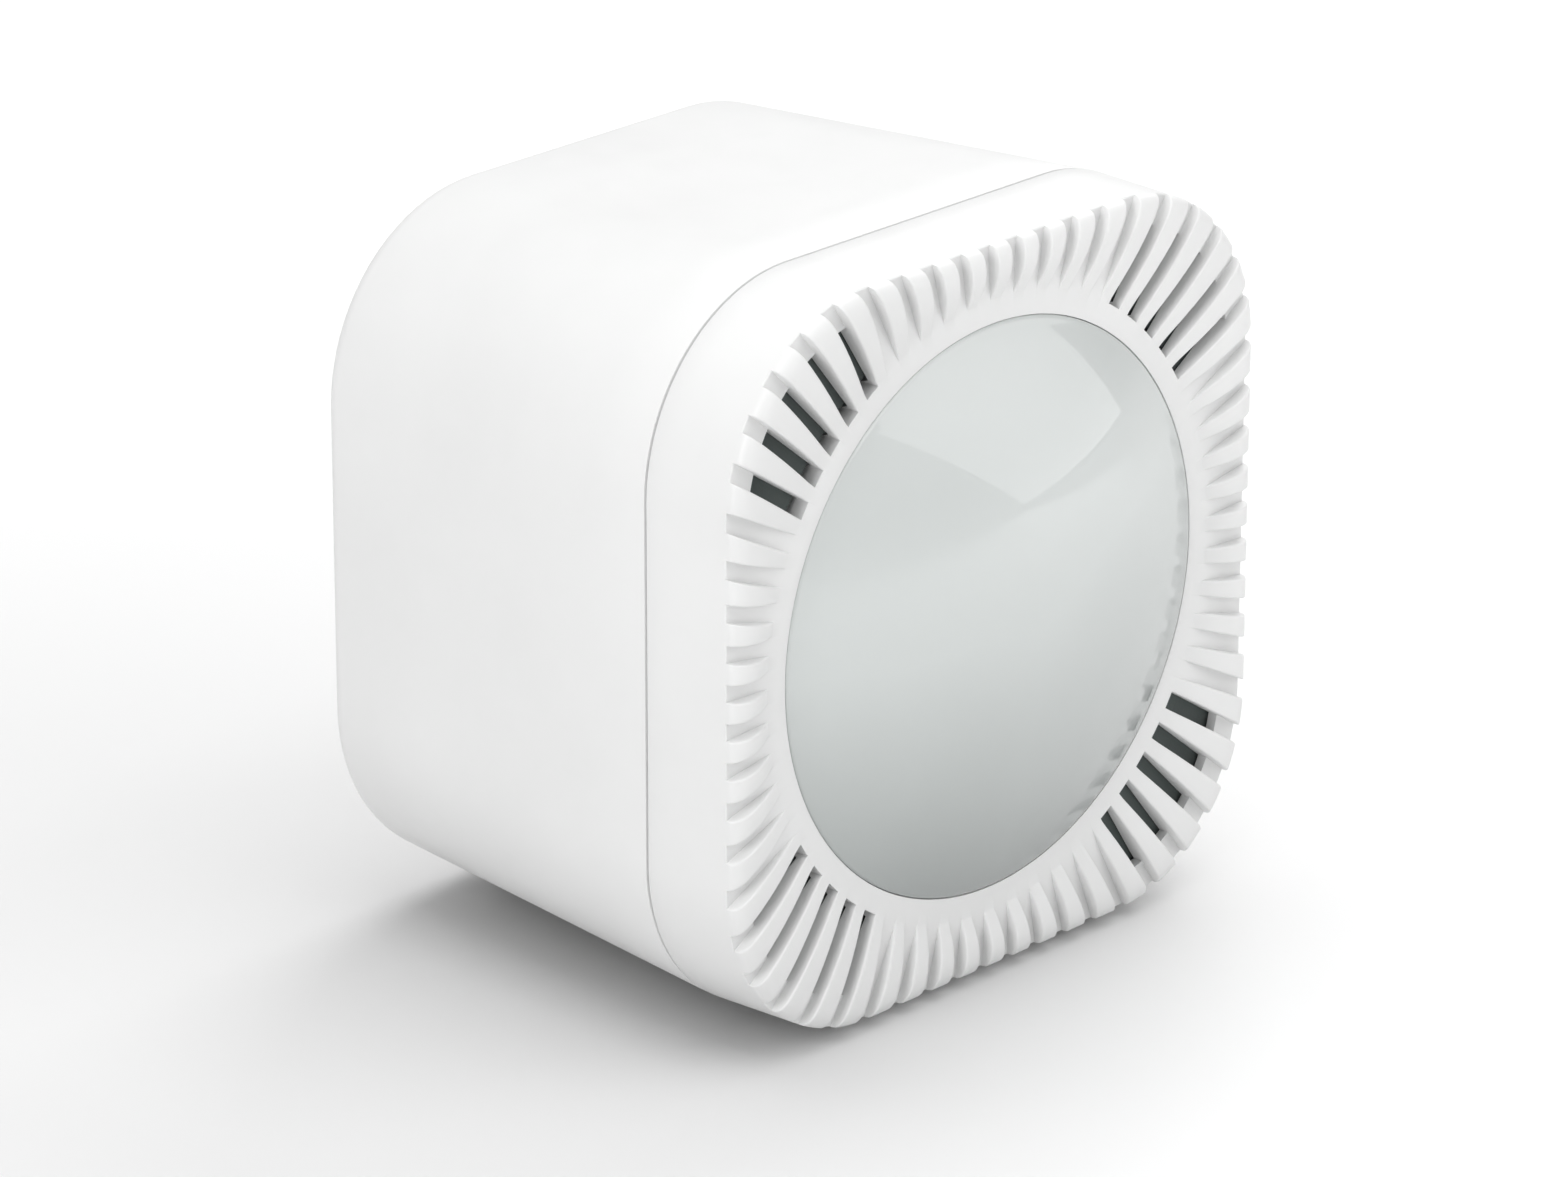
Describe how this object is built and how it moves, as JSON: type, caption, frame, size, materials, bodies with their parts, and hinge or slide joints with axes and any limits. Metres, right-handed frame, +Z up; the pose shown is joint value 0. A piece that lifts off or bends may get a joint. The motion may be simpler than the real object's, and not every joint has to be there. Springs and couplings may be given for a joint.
{
  "type": "air quality monitor",
  "caption": "Rounded square desktop air quality monitor with a glossy domed light, a ribbed vented front, a deep tapered housing and a rear button.",
  "frame": {"origin": "centre of the bounding box on the surface that the feet stand on", "axes": "+Z up, -Y is the front with the dome, +X is to the right when the front is seen"},
  "size_m": [0.085, 0.0724, 0.0862],
  "materials": {
    "shell_white": "fine-textured white moulding",
    "dome_smoke": "glossy translucent grey-green lens",
    "frame_dark": "dark matte moulding",
    "foam_dark": "closed-cell foam",
    "reflector_white": "white reflector",
    "board_green": "solder mask",
    "led_lens": "LED package",
    "connector_ivory": "connector housing",
    "cable_grey": "cable jacket",
    "case_blue": "sensor case",
    "plastic_black": "black moulding",
    "copper": "copper winding",
    "brass": "brass barrel",
    "steel": "plated steel",
    "gold_case": "gold-coloured case",
    "rubber_dark": "soft rubber"
  },
  "bodies": {
    "casing": {"front_bezel": "shell_white", "rear_housing": "shell_white", "light_dome": "dome_smoke", "dome_gasket": "foam_dark", "reflector_cup": "reflector_white", "led_board": "board_green", "led_plug": "connector_ivory", "inner_chassis": "frame_dark", "climate_board": "board_green", "climate_sensor": "plastic_black", "counter_tray": "case_blue", "counter_cover": "case_blue", "counter_board": "board_green", "fan_motor": "copper", "laser_module": "brass", "photodiode": "plastic_black", "counter_socket": "connector_ivory", "main_board": "board_green", "co2_sensor": "gold_case", "led_socket": "connector_ivory", "sensor_socket": "connector_ivory", "led_cable": "cable_grey", "sensor_cable": "cable_grey", "radio_shield": "steel", "processor": "plastic_black", "capacitor": "steel", "usb_shell": "steel", "usb_tongue": "plastic_black", "tact_switch": "plastic_black", "led_1": "led_lens", "led_2": "led_lens", "led_3": "led_lens", "led_4": "led_lens", "led_5": "led_lens", "led_6": "led_lens", "led_7": "led_lens", "led_8": "led_lens", "inlet_filter_1": "foam_dark", "bezel_screw_1": "steel", "rear_screw_1": "steel", "foot_1": "rubber_dark", "inlet_filter_2": "foam_dark", "bezel_screw_2": "steel", "rear_screw_2": "steel", "foot_2": "rubber_dark", "inlet_filter_3": "foam_dark", "bezel_screw_3": "steel", "rear_screw_3": "steel", "foot_3": "rubber_dark", "inlet_filter_4": "foam_dark", "bezel_screw_4": "steel", "rear_screw_4": "steel", "foot_4": "rubber_dark"},
    "fan": {"fan_rotor": "plastic_black"},
    "button": {"rear_button": "shell_white"},
    "plunger": {"tact_plunger": "plastic_black"}
  },
  "joints": [
    {"name": "fan_spin", "type": "hinge", "parent": "casing", "child": "fan", "pos_m": [0.013, -0.00085, 0.0487], "axis": [0, 1, 0], "continuous": true},
    {"name": "button_press", "type": "slide", "parent": "casing", "child": "button", "axis": [0, -1, 0], "range_m": [0, 0.0005], "stiffness_N_per_m": 400},
    {"name": "plunger_press", "type": "slide", "parent": "casing", "child": "plunger", "axis": [0, -1, 0], "range_m": [0, 0.0005]}
  ],
  "couplings": [
    {"joint": "plunger_press", "follows": "button_press", "ratio": 1}
  ]
}
